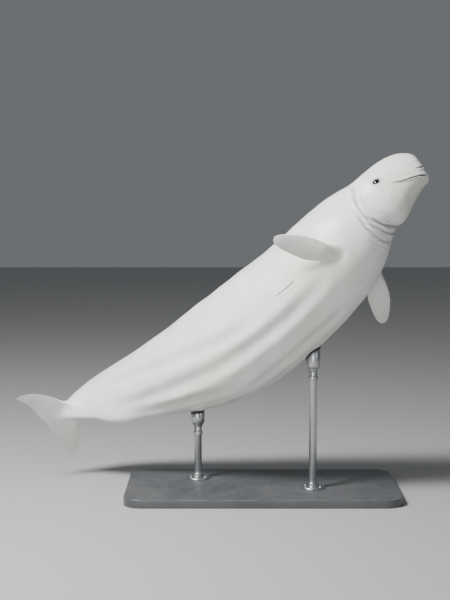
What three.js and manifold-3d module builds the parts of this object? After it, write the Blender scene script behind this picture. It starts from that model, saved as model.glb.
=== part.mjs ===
// An adult beluga whale at life size, climbing and banked, held on a flat stand by two upright rods.
// Millimetres, +Z up. +X is the way the whale swims and its right side is turned to -Y.
// The origin is the middle of the underside of the stand's base.
//
// The body is drawn straight first. A place on it is a station, the distance back from the tip of
// the snout, and a turn about the spine in degrees: 0 on the back, 90 on the left side, 180 on the
// belly and 270 on the right side. The straight body is then bent along its spine.
import * as THREE from 'three';
import { mergeVertices } from 'three/addons/utils/BufferGeometryUtils.js';
import Module from 'manifold-3d';

const wasm = await Module();
wasm.setup();

// Driving dimensions
const flukeStart = 3790; // station where the tail begins to flare into the flukes
const flukeHalfSpan = { left: 464, right: 444 };
const flukeCurl = 22; // how far the flukes' tips droop
const flukeThickness = 15; // half of it, at mid span
const neckStart = 480; // stations of the cuts between the parts of the body
const chestStart = 800;
const bellyStart = 1900;
const tailStart = 3000;
const balanceStation = 1900; // this station of the spine stands over the middle of the base
const balanceHeight = 1462;
const eyeStation = 394;
const eyeTurn = 87; // down from the back to each side
const eyeballRadius = 26;
const eyeballFront = 9; // how far an eyeball's front stands over the bare skin
const lidHalfLength = 30;
const lidHalfHeight = 25;
const lidPit = 14; // depth of the opening, and heights of what lies round it
const lidRim = 4;
const lidGroove = 3;
const browHeight = 7;
const browReach = 72;
const baseLength = 2300;
const baseWidth = 1240;
const baseThickness = 70;
const baseCornerRadius = 160;
const rodRadius = 32;
const footRadius = 100;
const footThickness = 18;
const cupRadius = 62;
const cupDepth = 150; // from the underside of the body down to the top of the rod
const gap = 0.3; // left between pieces that touch

// Half sizes of the body at its stations: above, below and beside the spine
const stations = [
  { at: 0, up: 0, down: 0, side: 0 },
  { at: 8, up: 22, down: 28, side: 36 },
  { at: 22, up: 44, down: 48, side: 67 },
  { at: 40, up: 72, down: 69, side: 93 }, // fold between the upper lip and the melon
  { at: 55, up: 132, down: 84, side: 107 },
  { at: 84, up: 210, down: 112, side: 131 },
  { at: 140, up: 256, down: 156, side: 158 },
  { at: 220, up: 270, down: 208, side: 188 }, // top of the melon
  { at: 320, up: 260, down: 266, side: 214 },
  { at: 420, up: 246, down: 290, side: 232 }, // blowhole and throat
  { at: 520, up: 250, down: 276, side: 245 }, // nape
  { at: 640, up: 310, down: 306, side: 288 },
  { at: 780, up: 362, down: 358, side: 345 },
  { at: 1000, up: 398, down: 412, side: 404 },
  { at: 1400, up: 422, down: 444, side: 440 },
  { at: 1900, up: 456, down: 474, side: 446 }, // deepest part of the trunk
  { at: 2300, up: 464, down: 488, side: 412 },
  { at: 2700, up: 428, down: 410, side: 345 },
  { at: 3100, up: 360, down: 320, side: 250 },
  { at: 3450, up: 290, down: 304, side: 165 },
  { at: 3700, up: 226, down: 188, side: 102 },
  { at: 3860, up: 146, down: 124, side: 77 },
];

// How the spine lies at its stations, in degrees: climb, turn towards -Y, and roll of the belly to -Y
const spineCourse = [
  { at: 0, climb: -7, turn: 0, roll: 32 },
  { at: 150, climb: 17, turn: 0.5, roll: 32 },
  { at: 400, climb: 37, turn: 2, roll: 31 },
  { at: 560, climb: 50, turn: 6.5, roll: 31 },
  { at: 750, climb: 55, turn: 13, roll: 31 },
  { at: 1000, climb: 51, turn: 18, roll: 30 },
  { at: 1400, climb: 43, turn: 20, roll: 30 },
  { at: 2000, climb: 36, turn: 22, roll: 30 },
  { at: 2800, climb: 24, turn: 21, roll: 31 },
  { at: 3200, climb: 19, turn: 17, roll: 34 },
  { at: 3600, climb: 20.4, turn: 13.4, roll: 41.5 },
  { at: 3900, climb: 28.5, turn: 0.8, roll: 52 },
  { at: 4250, climb: 36.4, turn: -2.1, roll: 60.5 },
];

// Folds, creases and long rolls of blubber: points as [station, turn], half width, depth and the
// height of the swelling beside them. A fold that is on both sides is given on the right side, and
// one that crosses from side to side is given from the middle to its right end.
const folds = {
  mouth: {
    crosses: true, depth: 11, halfWidth: 6, swell: 4,
    points: [
      [4, 180], [7, 225], [30, 254], [82, 248.5], [149, 247.5], [224, 249.5], [285, 255.5], [342, 262],
    ],
  },
  beak: {
    crosses: true, depth: 10, halfWidth: 9, swell: 4,
    points: [[43, 360], [46, 326], [52, 302], [62, 287], [80, 279], [108, 273]],
  },
  blowhole: {
    depth: 12, halfWidth: 6, swell: 4,
    points: [[414, 11], [428, 7], [434, 1], [428, -5], [414, -9]],
  },
  nape: {
    both: true, depth: 9, halfWidth: 16, swell: 3,
    points: [[512, 318], [534, 288], [564, 270], [591, 257], [613, 232], [626, 210]],
  },
  throat: {
    depth: 16, halfWidth: 17, swell: 6,
    points: [[548, 118], [506, 150], [540, 180], [577, 198], [594, 215], [606, 240]],
  },
  throatSecond: {
    depth: 10, halfWidth: 14, swell: 4,
    points: [[618, 118], [592, 150], [612, 180], [632, 205], [650, 228]],
  },
  throatThird: {
    depth: 8, halfWidth: 14, swell: 3,
    points: [[676, 140], [672, 165], [692, 190], [684, 207], [673, 224], [640, 244], [628, 258]],
  },
  bellyRoll: {
    both: true, depth: 15, halfWidth: 52, swell: 7,
    points: [[1000, 224], [1300, 220], [1935, 220], [2560, 226], [3240, 222], [3600, 228]],
  },
  flankRoll: {
    both: true, depth: 11, halfWidth: 46, swell: 5,
    points: [[1620, 238], [1960, 242], [2440, 253], [2740, 259], [3050, 265], [3410, 273], [3760, 283]],
  },
  bellyMiddle: {
    depth: 9, halfWidth: 46, swell: 5,
    points: [[1150, 177], [1680, 180], [2150, 180], [2380, 180]],
  },
  bellyRear: {
    both: true, depth: 9, halfWidth: 40, swell: 4,
    points: [[2150, 190], [2400, 197], [2700, 200], [3080, 199], [3440, 207]],
  },
  flankCrease: {
    both: true, depth: 7, halfWidth: 13, swell: 2,
    points: [[1310, 243], [1430, 242.5], [1540, 243.5]],
  },
  slit: {
    depth: 10, halfWidth: 9, swell: 4,
    points: [[2590, 180], [2670, 180], [2750, 180]],
  },
};

// Low bumps that take the place of a back fin
const ridge = { start: 2020, end: 2880, height: 17, halfWidth: 26, bumps: 11 };

// Flippers: station and turn of the root, length past the bend, how far the tip is lifted, and
// where they point: back, aside and upward
const flippers = {
  right: { station: 946, turn: 233.2, length: 465, back: 0.194, aside: 0.464, up: 0.236, lift: 19, side: -1 },
  left: { station: 968, turn: 118.5, length: 476, back: 0.304, aside: 0.336, up: -0.097, lift: 14, side: 1 },
};
const flipperStem = 190; // how far a flipper starts inside the body
const flipperKnee = 60; // from the skin to the middle of its bend
const flipperLean = 5; // how far it leans towards its own direction where it leaves the skin

const radians = Math.PI / 180;
const clamp = (x, low, high) => Math.min(high, Math.max(low, x));
const smooth = (x) => x * x * (3 - 2 * x);
const bell = (x) => Math.exp(-x * x);

// A smooth curve through points [at, value], flat beyond its ends' positions
function curve(points) {
  const step = points.slice(1).map((p, i) => p[0] - points[i][0]);
  const rise = points.slice(1).map((p, i) => (p[1] - points[i][1]) / step[i]);
  const slope = points.map((p, i) => {
    if (i === 0) return rise[0];
    if (i === rise.length) return rise[i - 1];
    return (rise[i - 1] * step[i] + rise[i] * step[i - 1]) / (step[i] + step[i - 1]);
  });
  return (x) => {
    let i = 0;
    while (i < rise.length - 1 && x > points[i + 1][0]) i++;
    const t = clamp((x - points[i][0]) / step[i], 0, 1);
    const u = 1 - t;
    return (1 + 2 * t) * u * u * points[i][1] + t * u * u * step[i] * slope[i]
      + t * t * (3 - 2 * t) * points[i + 1][1] - t * t * u * step[i] * slope[i + 1];
  };
}

// A profile runs over the root of the station, so that the snout ends blunt and round
function profile(key) {
  const along = curve(stations.map((s) => [Math.sqrt(s.at), s[key]]));
  return (station) => along(Math.sqrt(Math.max(station, 0)));
}
const upAt = profile('up');
const downAt = profile('down');
const sideAt = profile('side');
const keelAt = curve([[0, 0], [2400, 0], [3000, 0.12], [3500, 0.35], [3860, 0.4]]);

// The straight body: x is the station, y to the left and z up
function bareSkin(station, turn) {
  const c = Math.cos(turn);
  const height = c > 0 ? upAt(station) : downAt(station);
  const y = sideAt(station) * Math.sin(turn) * (1 - keelAt(station) * c * c);
  return new THREE.Vector3(station, y, height * c);
}

function bareNormal(station, turn) {
  const reach = 0.5 + station * 0.002;
  const before = Math.max(station - reach, 0);
  const along = bareSkin(station + reach, turn).sub(bareSkin(before, turn));
  const around = bareSkin(station, turn + 0.01).sub(bareSkin(station, turn - 0.01));
  if (around.length() < 1e-6) return new THREE.Vector3(-1, 0, 0);
  return along.cross(around).normalize();
}

// A fold becomes a chain of points on the bare skin, with its strength fading at the ends
const turnLength = 200; // stands for a radian of turn when a fold's curve is drawn
function foldChain(fold, side) {
  const mirrored = (turn) => (side > 0 ? 360 - turn : turn) * radians * turnLength;
  const middle = fold.points[0][1];
  const otherSide = fold.points.slice(1).reverse().map(([station, turn]) => [station, 2 * middle - turn]);
  const points = fold.crosses ? [...otherSide, ...fold.points] : fold.points;
  const flat = points.map(([station, turn]) => new THREE.Vector3(station, mirrored(turn), 0));
  const line = new THREE.CatmullRomCurve3(flat, false, 'centripetal');
  const count = Math.ceil(line.getLength() / (2 * fold.halfWidth)) + 8;
  return line.getSpacedPoints(count).map((p, i) => {
    const share = fold.crosses ? 10 : 5;
    const rise = smooth(clamp(share * i / count, 0, 1));
    const fall = smooth(clamp(share * (1 - i / count), 0, 1));
    return { point: bareSkin(p.x, p.y / turnLength), fade: rise * fall };
  });
}
const foldChains = Object.values(folds).flatMap((fold) => {
  const sides = fold.both ? [-1, 1] : [-1];
  return sides.map((side) => {
    const chain = foldChain(fold, side);
    const box = new THREE.Box3().setFromPoints(chain.map((link) => link.point));
    return { fold, chain, box: box.expandByScalar(4 * fold.halfWidth) };
  });
});

// Distance from a point to a chain, and the chain's strength there
const segment = new THREE.Line3();
const nearest = new THREE.Vector3();
function reachOf(chain, point) {
  let best = { distance: Infinity, fade: 0 };
  for (let i = 1; i < chain.length; i++) {
    segment.set(chain[i - 1].point, chain[i].point);
    const t = segment.closestPointToPointParameter(point, true);
    const distance = segment.at(t, nearest).distanceTo(point);
    if (distance < best.distance) {
      best = { distance, fade: THREE.MathUtils.lerp(chain[i - 1].fade, chain[i].fade, t) };
    }
  }
  return best;
}

// Each eye has its own axes on the skin: along the lids, across them and outwards
function eyeFrame(side) {
  const turn = side * eyeTurn * radians;
  const centre = bareSkin(eyeStation, turn);
  const out = bareNormal(eyeStation, turn);
  const along = bareSkin(eyeStation - 20, turn).sub(centre);
  along.addScaledVector(out, -along.dot(out)).normalize();
  return { centre, out, along, across: along.clone().cross(out) };
}
const eyeFrames = { right: eyeFrame(-1), left: eyeFrame(1) };

// The lids: a pit for the eyeball, a rim round it, a groove round that and a soft brow
function eyeRelief(point) {
  let height = 0;
  for (const frame of Object.values(eyeFrames)) {
    const from = point.clone().sub(frame.centre);
    if (from.length() > 3 * browReach) continue;
    const r = Math.hypot(from.dot(frame.along) / lidHalfLength, from.dot(frame.across) / lidHalfHeight);
    height += browHeight * bell(from.length() / browReach);
    height += lidRim * bell((r - 1.35) / 0.35);
    height -= lidPit * (1 - smooth(clamp((r - 0.35) / 0.75, 0, 1)));
    height -= lidGroove * bell((r - 2.3) / 0.4);
  }
  return height;
}

function ridgeRelief(point) {
  const t = (point.x - ridge.start) / (ridge.end - ridge.start);
  if (t <= 0 || t >= 1 || point.z < 0) return 0;
  const bumps = 0.7 + 0.3 * Math.cos(2 * Math.PI * ridge.bumps * t);
  return ridge.height * Math.sin(Math.PI * t) ** 0.6 * bumps * bell(point.y / ridge.halfWidth);
}

function relief(point) {
  let height = eyeRelief(point) + ridgeRelief(point);
  for (const { fold, chain, box } of foldChains) {
    if (!box.containsPoint(point)) continue;
    const { distance, fade } = reachOf(chain, point);
    const d = distance / fold.halfWidth;
    height += fade * (fold.swell * bell((d - 1.9) / 0.8) - fold.depth * bell(d));
  }
  return height;
}

// Near a cut the relief keeps to the plane of the cut
const cuts = [neckStart, chestStart, bellyStart, tailStart, flukeStart];
function skin(station, turn, grow = 0) {
  const point = bareSkin(station, turn);
  const normal = bareNormal(station, turn);
  const height = relief(point) + grow;
  const fromCut = Math.min(...cuts.map((cut) => Math.abs(station - cut)));
  normal.x *= clamp((fromCut - 1) / 30, 0, 1);
  return point.addScaledVector(normal, height);
}

// The bent spine: where each station lies, and the body's axes there
const spineStep = 5;
const climbAt = curve(spineCourse.map((s) => [s.at, s.climb]));
const turnAt = curve(spineCourse.map((s) => [s.at, s.turn]));
const rollAt = curve(spineCourse.map((s) => [s.at, s.roll]));
function heading(station) {
  const climb = climbAt(station) * radians;
  const turn = turnAt(station) * radians;
  return new THREE.Vector3(
    Math.cos(climb) * Math.cos(turn), -Math.cos(climb) * Math.sin(turn), Math.sin(climb));
}
const spine = [new THREE.Vector3()];
for (let i = 0; i < 860; i++) {
  const middle = heading(i * spineStep).add(heading((i + 1) * spineStep));
  spine.push(spine[i].clone().addScaledVector(middle, -spineStep / 2));
}
const balance = spine[balanceStation / spineStep].clone();
function spineAt(station) {
  const i = clamp(Math.floor(station / spineStep), 0, spine.length - 2);
  const point = spine[i].clone().lerp(spine[i + 1], station / spineStep - i).sub(balance);
  point.z += balanceHeight;
  return point;
}
function axesAt(station) {
  const forward = heading(station);
  const level = new THREE.Vector3(0, 0, 1).cross(forward).normalize();
  const upright = forward.clone().cross(level);
  const roll = rollAt(station) * radians;
  const left = level.clone().multiplyScalar(Math.cos(roll)).addScaledVector(upright, -Math.sin(roll));
  const up = upright.clone().multiplyScalar(Math.cos(roll)).addScaledVector(level, Math.sin(roll));
  return { forward, left, up };
}
function bend(point) {
  const { left, up } = axesAt(point.x);
  return spineAt(point.x).addScaledVector(left, point.y).addScaledVector(up, point.z);
}

// Meshes are lists of places and of triangles
function toGeometry(points, triangles) {
  const geometry = new THREE.BufferGeometry();
  const numbers = points.flatMap((p) => [p.x, p.y, p.z]);
  geometry.setAttribute('position', new THREE.Float32BufferAttribute(numbers, 3));
  geometry.setIndex(triangles.flat());
  return geometry;
}

// How long an edge may be at a place on the straight body: short at the lids and in the folds
const headFacet = 74;
const bodyFacet = 136;
const lidFacet = 8.5;
function facetSize(point) {
  let size = point.x < neckStart ? headFacet : bodyFacet;
  for (const frame of Object.values(eyeFrames)) {
    const past = Math.max(0, point.distanceTo(frame.centre) - 1.4 * lidHalfLength);
    size = Math.min(size, lidFacet + 0.6 * past);
  }
  for (const { fold, chain, box } of foldChains) {
    if (!box.containsPoint(point)) continue;
    const { distance, fade } = reachOf(chain, point);
    const past = Math.max(0, distance - 1.5 * fold.halfWidth);
    if (fade > 0.05) size = Math.min(size, 2.1 * fold.halfWidth + 0.7 * past);
  }
  return size;
}

// Splits the edges that are too long, as often as needed. A place is [station, turn], or a cap's
// middle where its turn is null.
function refine(places, triangles, middleOf) {
  for (let pass = 0; pass < 7; pass++) {
    const bare = places.map(([station, turn]) => (turn === null ? null : bareSkin(station, turn)));
    const middles = new Map();
    const middle = (i, j) => {
      const key = i < j ? `${i},${j}` : `${j},${i}`;
      if (middles.has(key)) return middles.get(key);
      let made = null;
      if (bare[i] && bare[j]) {
        const length = bare[i].distanceTo(bare[j]);
        if (length > facetSize(bare[i].clone().add(bare[j]).multiplyScalar(0.5))) {
          made = places.length;
          places.push(middleOf(places[i], places[j]));
        }
      }
      middles.set(key, made);
      return made;
    };
    const next = [];
    for (const [a, b, c] of triangles) {
      const [ab, bc, ca] = [middle(a, b), middle(b, c), middle(c, a)];
      const split = [ab, bc, ca].filter((m) => m !== null).length;
      if (split === 0) next.push([a, b, c]);
      else if (split === 3) next.push([a, ab, ca], [ab, b, bc], [ca, bc, c], [ab, bc, ca]);
      else {
        // turned so that the first edge is split and, of two, the third one is whole
        let corners = [a, b, c];
        let halves = [ab, bc, ca];
        while (halves[0] === null || (split === 2 && halves[2] !== null)) {
          corners = [corners[1], corners[2], corners[0]];
          halves = [halves[1], halves[2], halves[0]];
        }
        const [p, q, r] = corners;
        const [pq, qr] = halves;
        if (qr === null) next.push([p, pq, r], [pq, q, r]);
        else next.push([pq, q, qr], [p, pq, qr], [p, qr, r]);
      }
    }
    triangles = next;
    if (![...middles.values()].some((m) => m !== null)) break;
  }
  return triangles;
}

// One length of the body, from ring to ring, closed by flat ends
function bodyLength(from, to, grow = 0) {
  const places = [];
  const triangles = [];
  const start = from > 0 ? from + gap / 2 - grow : 0;
  const end = to - gap / 2 + grow;
  const around = 28;
  const rings = Math.max(4, Math.round((to - from) / (from > 0 ? 110 : 44)));
  const round = 2 * Math.PI;
  places.push([start, from > 0 ? null : 0]);
  for (let i = 0; i <= rings; i++) {
    const t = i / rings;
    const station = from > 0 ? start + (end - start) * t : end * Math.max(t, 0.012) ** 1.7;
    for (let j = 0; j < around; j++) places.push([station, (j / around) * round]);
  }
  const at = (i, j) => 1 + i * around + (j % around);
  for (let j = 0; j < around; j++) {
    triangles.push([0, at(0, j), at(0, j + 1)]);
    for (let i = 0; i < rings; i++) {
      triangles.push([at(i, j), at(i + 1, j), at(i, j + 1)], [at(i + 1, j), at(i + 1, j + 1), at(i, j + 1)]);
    }
  }
  const last = places.push([end, null]) - 1;
  for (let j = 0; j < around; j++) triangles.push([last, at(rings, j + 1), at(rings, j)]);
  const middleOf = ([s1, t1], [s2, t2]) => {
    if (s1 === 0) return [s2 / 2, t2];
    if (s2 === 0) return [s1 / 2, t1];
    const across = ((t2 - t1 + 3 * Math.PI) % round) - Math.PI;
    return [(s1 + s2) / 2, t1 + across / 2];
  };
  const faces = refine(places, triangles, middleOf).map(([a, b, c]) => [a, c, b]);
  const points = places.map(([s, t]) => bend(t === null ? new THREE.Vector3(s, 0, 0) : skin(s, t, grow)));
  return toGeometry(points, faces);
}

// manifold-3d joins and cuts
function toSolid(geometry) {
  const bare = new THREE.BufferGeometry();
  bare.setAttribute('position', geometry.getAttribute('position').clone());
  bare.setIndex(geometry.getIndex() ? geometry.getIndex().clone() : null);
  const merged = mergeVertices(bare, 1e-3);
  return new wasm.Manifold(new wasm.Mesh({
    numProp: 3,
    vertProperties: new Float32Array(merged.getAttribute('position').array),
    triVerts: new Uint32Array(merged.getIndex().array),
  }));
}
function fromSolid(solid) {
  const bodies = solid.decompose().sort((a, b) => b.volume() - a.volume());
  const mesh = bodies[0].getMesh();
  const geometry = new THREE.BufferGeometry();
  geometry.setAttribute('position', new THREE.BufferAttribute(new Float32Array(mesh.vertProperties), 3));
  geometry.setIndex(new THREE.BufferAttribute(new Uint32Array(mesh.triVerts), 1));
  return geometry;
}
function cutBy(geometry, ...cutters) {
  return fromSolid(cutters.reduce((left, cutter) => left.subtract(toSolid(cutter)), toSolid(geometry)));
}

// An eyeball sits under the skin, so that its front shows between the lids
function eyeball(name, grow = 0) {
  const { centre, out } = eyeFrames[name];
  const middle = bend(centre.clone().addScaledVector(out, eyeballFront - eyeballRadius));
  return new THREE.SphereGeometry(eyeballRadius + grow, 18, 12).translate(middle.x, middle.y, middle.z);
}

// A flipper leaves the skin at a slant and bends into its own direction. It is a paddle with a round
// front edge and a thin rear edge, from the skin at 0 to the tip at 1.
const leadingAt = curve([
  [-0.2, 40], [0, 40], [0.1, 43], [0.23, 58], [0.42, 76], [0.58, 78], [0.77, 63], [0.9, 46], [0.965, 29],
  [1, 0],
]);
const trailingAt = curve([
  [-0.2, 56], [0, 56], [0.1, 68], [0.23, 100], [0.41, 116], [0.59, 103], [0.77, 82], [0.9, 60], [0.965, 39],
  [1, 0],
]);
const paddleThicknessAt = curve([[-0.2, 40], [0, 38], [0.3, 26], [0.7, 14], [0.92, 8], [1, 0]]);
function flipper({ station, turn, length, back, aside, up, lift, side }) {
  const axes = axesAt(station);
  const turned = (v) => axes.forward.clone().multiplyScalar(-v.x)
    .addScaledVector(axes.left, v.y).addScaledVector(axes.up, v.z);
  const root = bend(bareSkin(station, turn * radians));
  const out = turned(bareNormal(station, turn * radians));
  const span = turned(new THREE.Vector3(back, side * aside, up).normalize());
  const rise = out.clone().addScaledVector(span, flipperLean).normalize();
  const knee = root.clone().addScaledVector(rise, flipperKnee);
  const bent = knee.clone().addScaledVector(span, flipperKnee);
  const axis = new THREE.CurvePath();
  axis.add(new THREE.LineCurve3(root.clone().addScaledVector(rise, -flipperStem), root));
  axis.add(new THREE.QuadraticBezierCurve3(root, knee, bent));
  axis.add(new THREE.LineCurve3(bent, knee.clone().addScaledVector(span, length)));
  const whole = axis.getLength();
  const rows = 18;
  const around = 20;
  const points = [];
  const triangles = [];
  const place = (along, angle) => {
    const t = (along * whole - flipperStem) / (whole - flipperStem);
    const direction = axis.getTangent(along);
    const chord = axes.forward.clone().addScaledVector(direction, -axes.forward.dot(direction)).normalize();
    const lifted = direction.clone().cross(chord).multiplyScalar(-side);
    const flare = 1 + 0.45 * bell(Math.max(t, 0) / 0.08);
    const c = Math.cos(angle);
    const wide = (c > 0 ? leadingAt(t) : trailingAt(t)) * (0.5 + 0.5 * flare);
    const high = paddleThicknessAt(t) * flare * Math.sin(angle) * (c > 0 ? 1 : 1 - 0.45 * c * c);
    return axis.getPoint(along).addScaledVector(chord, c * wide)
      .addScaledVector(lifted, high + lift * Math.max(t, 0) ** 2);
  };
  for (let i = 0; i < rows; i++) {
    for (let j = 0; j < around; j++) {
      points.push(place(Math.sin((i / rows) * Math.PI / 2), (j / around) * 2 * Math.PI));
    }
  }
  const tip = points.push(place(1, 0)) - 1;
  const stem = points.push(axis.getPoint(0)) - 1;
  const at = (i, j) => i * around + (j % around);
  for (let j = 0; j < around; j++) {
    for (let i = 0; i < rows - 1; i++) {
      triangles.push([at(i, j), at(i, j + 1), at(i + 1, j)], [at(i + 1, j), at(i, j + 1), at(i + 1, j + 1)]);
    }
    triangles.push([at(rows - 1, j), at(rows - 1, j + 1), tip], [stem, at(0, j + 1), at(0, j)]);
  }
  return toGeometry(points, side < 0 ? triangles : triangles.map(([a, b, c]) => [a, c, b]));
}

// A fluke carries the tail on: its rows sweep from the tail's last ring to the rear edge
const flukeReachAt = curve([
  [0, 0], [0.14, 0.034], [0.28, 0.207], [0.4, 0.469], [0.5, 0.63], [0.66, 0.84], [0.8, 0.945], [0.9, 0.985],
  [1, 0.98],
]);
const flukeRearAt = curve([
  [0, 4116], [0.04, 4122], [0.14, 4128], [0.33, 4134], [0.54, 4133], [0.72, 4141], [0.86, 4158], [1, 4177],
]);
function flukePoint(v, turn, side) {
  const across = Math.sin(turn);
  const flatness = Math.abs(Math.cos(turn));
  const startWidth = sideAt(flukeStart);
  const startHeight = Math.cos(turn) > 0 ? upAt(flukeStart) : downAt(flukeStart);
  const halfSpan = side > 0 ? flukeHalfSpan.left : flukeHalfSpan.right;
  const reach = startWidth * v + (halfSpan - startWidth) * flukeReachAt(v);
  const y = Math.max(bareSkin(flukeStart, turn).y * (1 - v) + across * reach, gap / 2);
  const station = flukeStart + gap / 2 + (flukeRearAt(across) - flukeStart) * v;
  const blade = flukeThickness * (1 - v) ** 0.55 * (1 + bell(y / 200));
  const blend = smooth(clamp(v / 0.3, 0, 1));
  const crown = (1 - blend) * flatness + blend * bell(y / (startWidth * (0.8 - 0.3 * v)));
  const keel = Math.max(startHeight - blade, 0) * (1 - v) ** 1.6 * crown;
  const z = v === 1 ? 0 : Math.sign(Math.cos(turn)) * (flatness * blade + keel);
  return bend(new THREE.Vector3(station, side * y, z - flukeCurl * (y / halfSpan) ** 3));
}
function fluke(side) {
  const rows = 18;
  const half = 20;
  const points = [];
  const triangles = [];
  for (let i = 0; i <= rows; i++) {
    const v = i === rows ? 1 : 1 - (1 - i / rows) ** 1.15;
    for (let j = 0; j <= half; j++) points.push(flukePoint(v, (j / half) * Math.PI, side));
  }
  // top and bottom share the rear edge
  const at = (i, j) => i * (half + 1) + (i === rows ? Math.min(j, half - j) : j);
  const add = (a, b, c) => {
    if (a !== b && b !== c && c !== a) triangles.push(side > 0 ? [a, c, b] : [a, b, c]);
  };
  for (let i = 0; i < rows; i++) {
    for (let j = 0; j < half; j++) {
      add(at(i, j), at(i + 1, j), at(i, j + 1));
      add(at(i + 1, j), at(i + 1, j + 1), at(i, j + 1));
    }
    add(at(i, 0), at(i, half), at(i + 1, 0));
    add(at(i, half), at(i + 1, half), at(i + 1, 0));
  }
  for (let j = 1; j < half; j++) add(at(0, 0), at(0, j), at(0, j + 1));
  const used = [...new Set(triangles.flat())];
  const place = new Map(used.map((index, i) => [index, i]));
  const faces = triangles.map((corners) => corners.map((index) => place.get(index)));
  return toGeometry(used.map((index) => points[index]), faces);
}

// Stand: a flat base with round corners, and two rods. Each rod stands on a foot and carries a cup
// that is cut to the body.
const rods = {
  front: { station: 1300, underside: 1215 },
  rear: { station: 2600, underside: 680 },
};
function standBase() {
  const x = baseLength / 2;
  const y = baseWidth / 2;
  const r = baseCornerRadius;
  const outline = new THREE.Shape();
  outline.absarc(x - r, y - r, r, 0, Math.PI / 2);
  outline.absarc(r - x, y - r, r, Math.PI / 2, Math.PI);
  outline.absarc(r - x, r - y, r, Math.PI, 1.5 * Math.PI);
  outline.absarc(x - r, r - y, r, 1.5 * Math.PI, 2 * Math.PI);
  return new THREE.ExtrudeGeometry(outline, { depth: baseThickness, bevelEnabled: false, curveSegments: 8 });
}
function turnedPiece(rod, outline) {
  const middle = spineAt(rod.station);
  return new THREE.LatheGeometry(outline.map(([x, y]) => new THREE.Vector2(x, y)), 28)
    .rotateX(Math.PI / 2).translate(middle.x, middle.y, 0);
}
function standFoot(rod) {
  const low = baseThickness + gap;
  const high = low + footThickness;
  const edge = footThickness / 2;
  return turnedPiece(rod, [
    [0, low], [footRadius, low], [footRadius, high - edge], [footRadius - edge, high], [0, high],
  ]);
}
function standRod(rod) {
  const low = baseThickness + footThickness + 2 * gap;
  const high = rod.underside - cupDepth;
  return turnedPiece(rod, [[0, low], [rodRadius, low], [rodRadius, high], [0, high]]);
}
function standCup(rod, body) {
  const low = rod.underside - cupDepth + gap;
  const wide = low + cupRadius - rodRadius;
  const high = spineAt(rod.station).z - 2 * cupRadius;
  const outline = [[0, low], [rodRadius + 6, low], [cupRadius, wide], [cupRadius, high], [0, high]];
  return cutBy(turnedPiece(rod, outline), body);
}

// The whale on its stand
const whale = new THREE.Group();
function material(color, roughness, metalness = 0) {
  return new THREE.MeshStandardMaterial({ color, roughness, metalness });
}
const skinMaterial = () => material(0xe8e7e2, 0.5);
const eyeMaterial = () => material(0x241a14, 0.12);
const baseMaterial = () => material(0x44484b, 0.6);
const steelMaterial = () => material(0xb4b6b8, 0.32, 1);
function add(name, geometry, finish) {
  const mesh = new THREE.Mesh(geometry, finish);
  mesh.name = name;
  whale.add(mesh);
}

add('head', cutBy(bodyLength(0, neckStart), eyeball('left', gap), eyeball('right', gap)), skinMaterial());
add('neck', bodyLength(neckStart, chestStart), skinMaterial());
add('chest', bodyLength(chestStart, bellyStart), skinMaterial());
add('belly', bodyLength(bellyStart, tailStart), skinMaterial());
add('tail_stock', bodyLength(tailStart, flukeStart), skinMaterial());
add('fluke_left', fluke(1), skinMaterial());
add('fluke_right', fluke(-1), skinMaterial());
add('eye_left', eyeball('left'), eyeMaterial());
add('eye_right', eyeball('right'), eyeMaterial());

const grownChest = bodyLength(chestStart, bellyStart, gap);
const grownBelly = bodyLength(bellyStart, tailStart, gap);
add('flipper_left', cutBy(flipper(flippers.left), grownChest), skinMaterial());
add('flipper_right', cutBy(flipper(flippers.right), grownChest), skinMaterial());
add('stand_base', standBase(), baseMaterial());
add('stand_foot_front', standFoot(rods.front), steelMaterial());
add('stand_foot_rear', standFoot(rods.rear), steelMaterial());
add('stand_rod_front', standRod(rods.front), steelMaterial());
add('stand_rod_rear', standRod(rods.rear), steelMaterial());
add('stand_cup_front', standCup(rods.front, grownChest), steelMaterial());
add('stand_cup_rear', standCup(rods.rear, grownBelly), steelMaterial());

export default whale;
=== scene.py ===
"""A beluga whale on a display stand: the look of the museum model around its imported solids. +Z up.

The body is drawn straight first, in millimetres. A place on it is a station, the distance back from
the tip of the snout, and a turn about the spine: 0 on the back, 90 degrees on the left side, 180 on
the belly and 270 on the right side. The straight body is then bent along its spine, into metres.
"""
from collections import namedtuple
from math import ceil, cos, pi, radians, sin, sqrt, tau

import bmesh
import bpy
import numpy as np
from mathutils import Matrix, Vector
from mathutils.bvhtree import BVHTree


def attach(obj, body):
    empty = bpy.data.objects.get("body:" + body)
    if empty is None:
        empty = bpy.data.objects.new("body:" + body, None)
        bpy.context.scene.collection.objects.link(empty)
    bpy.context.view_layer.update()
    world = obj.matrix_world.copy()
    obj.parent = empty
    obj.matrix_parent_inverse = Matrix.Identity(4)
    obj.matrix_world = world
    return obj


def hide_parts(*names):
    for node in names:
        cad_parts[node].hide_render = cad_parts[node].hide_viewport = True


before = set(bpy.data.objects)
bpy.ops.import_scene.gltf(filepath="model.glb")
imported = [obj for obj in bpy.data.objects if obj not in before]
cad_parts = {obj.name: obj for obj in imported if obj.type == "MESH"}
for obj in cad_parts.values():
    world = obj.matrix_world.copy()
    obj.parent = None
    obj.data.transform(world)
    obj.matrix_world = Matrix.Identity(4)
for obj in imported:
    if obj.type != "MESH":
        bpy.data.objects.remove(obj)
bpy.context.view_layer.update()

METRE = 0.001  # of a millimetre

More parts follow.
